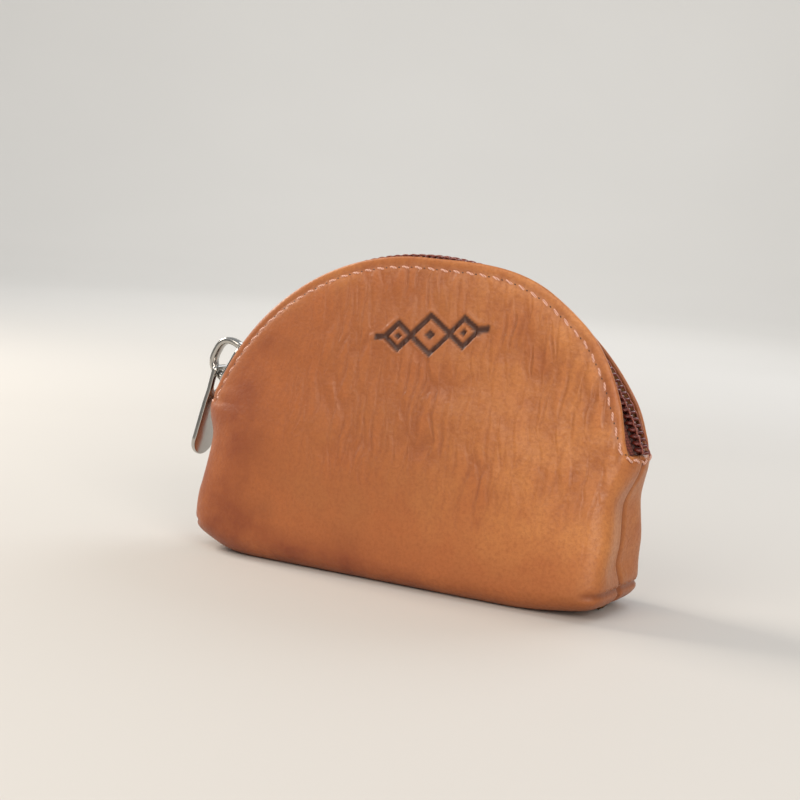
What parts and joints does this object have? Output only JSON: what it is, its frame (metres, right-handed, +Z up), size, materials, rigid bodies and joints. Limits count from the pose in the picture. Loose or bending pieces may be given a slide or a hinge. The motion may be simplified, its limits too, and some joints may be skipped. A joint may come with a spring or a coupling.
{
  "type": "zippered pouch",
  "caption": "Small half-moon leather pouch with a boxed base, an arched coil zip, topstitched edges, a metal slider and a hanging pull tab.",
  "frame": {"origin": "middle of the resting face under the base", "axes": "+Z up, X along the width, the front with the blank-stamped mark faces -Y, and the slider stands at the -X end when the zip is shut"},
  "size_m": [0.1187, 0.032, 0.0733],
  "materials": {
    "tan_leather": "smooth drawn grain, satin",
    "lining": "plain woven, matte",
    "zip_tape": "close woven, matte",
    "zip_coil": "nylon coil, low sheen",
    "thread": "waxed thread",
    "seam_thread": "waxed thread",
    "nickel": "polished nickel plate"
  },
  "bodies": {
    "pouch": {"front_panel": "tan_leather", "back_panel": "tan_leather", "front_lining": "lining", "back_lining": "lining", "left_tape_end": "zip_tape", "right_tape_end": "zip_tape", "left_end_stitching": "thread", "right_end_stitching": "thread", "left_side_seam": "seam_thread", "right_side_seam": "seam_thread", "left_box_seam": "seam_thread", "right_box_seam": "seam_thread", "base_seam": "seam_thread"},
    "front_mouth": {"front_mouth_panel": "tan_leather", "front_mouth_lining": "lining", "front_zip_tape": "zip_tape", "front_zip_coil": "zip_coil", "front_arch_stitching": "thread"},
    "back_mouth": {"back_mouth_panel": "tan_leather", "back_mouth_lining": "lining", "back_zip_tape": "zip_tape", "back_zip_coil": "zip_coil", "back_arch_stitching": "thread"},
    "slider": {"slider_body": "nickel", "slider_bridge": "nickel"},
    "pull_tab": {"pull_tab": "nickel"}
  },
  "joints": [
    {"name": "slider_travel", "type": "hinge", "parent": "pouch", "child": "slider", "pos_m": [0.0035, 0, 0.015], "axis": [0, 1, 0], "range_deg": [0, 124]},
    {"name": "pull_tab_swing", "type": "hinge", "parent": "slider", "child": "pull_tab", "pos_m": [-0.0534, 0, 0.04186], "axis": [0, 1, 0], "range_deg": [0, 125]},
    {"name": "front_mouth_open", "type": "hinge", "parent": "pouch", "child": "front_mouth", "pos_m": [0, -0.0129, 0.035], "axis": [1, 0, 0], "range_deg": [0, 16], "deforming": ["front_zip_tape", "front_zip_coil"]},
    {"name": "back_mouth_open", "type": "hinge", "parent": "pouch", "child": "back_mouth", "pos_m": [0, 0.0129, 0.035], "axis": [-1, 0, 0], "range_deg": [0, 16], "deforming": ["back_zip_tape", "back_zip_coil"]}
  ],
  "couplings": [
    {"joint": "front_mouth_open", "follows": "slider_travel", "ratio": 0.12},
    {"joint": "back_mouth_open", "follows": "slider_travel", "ratio": 0.12}
  ]
}
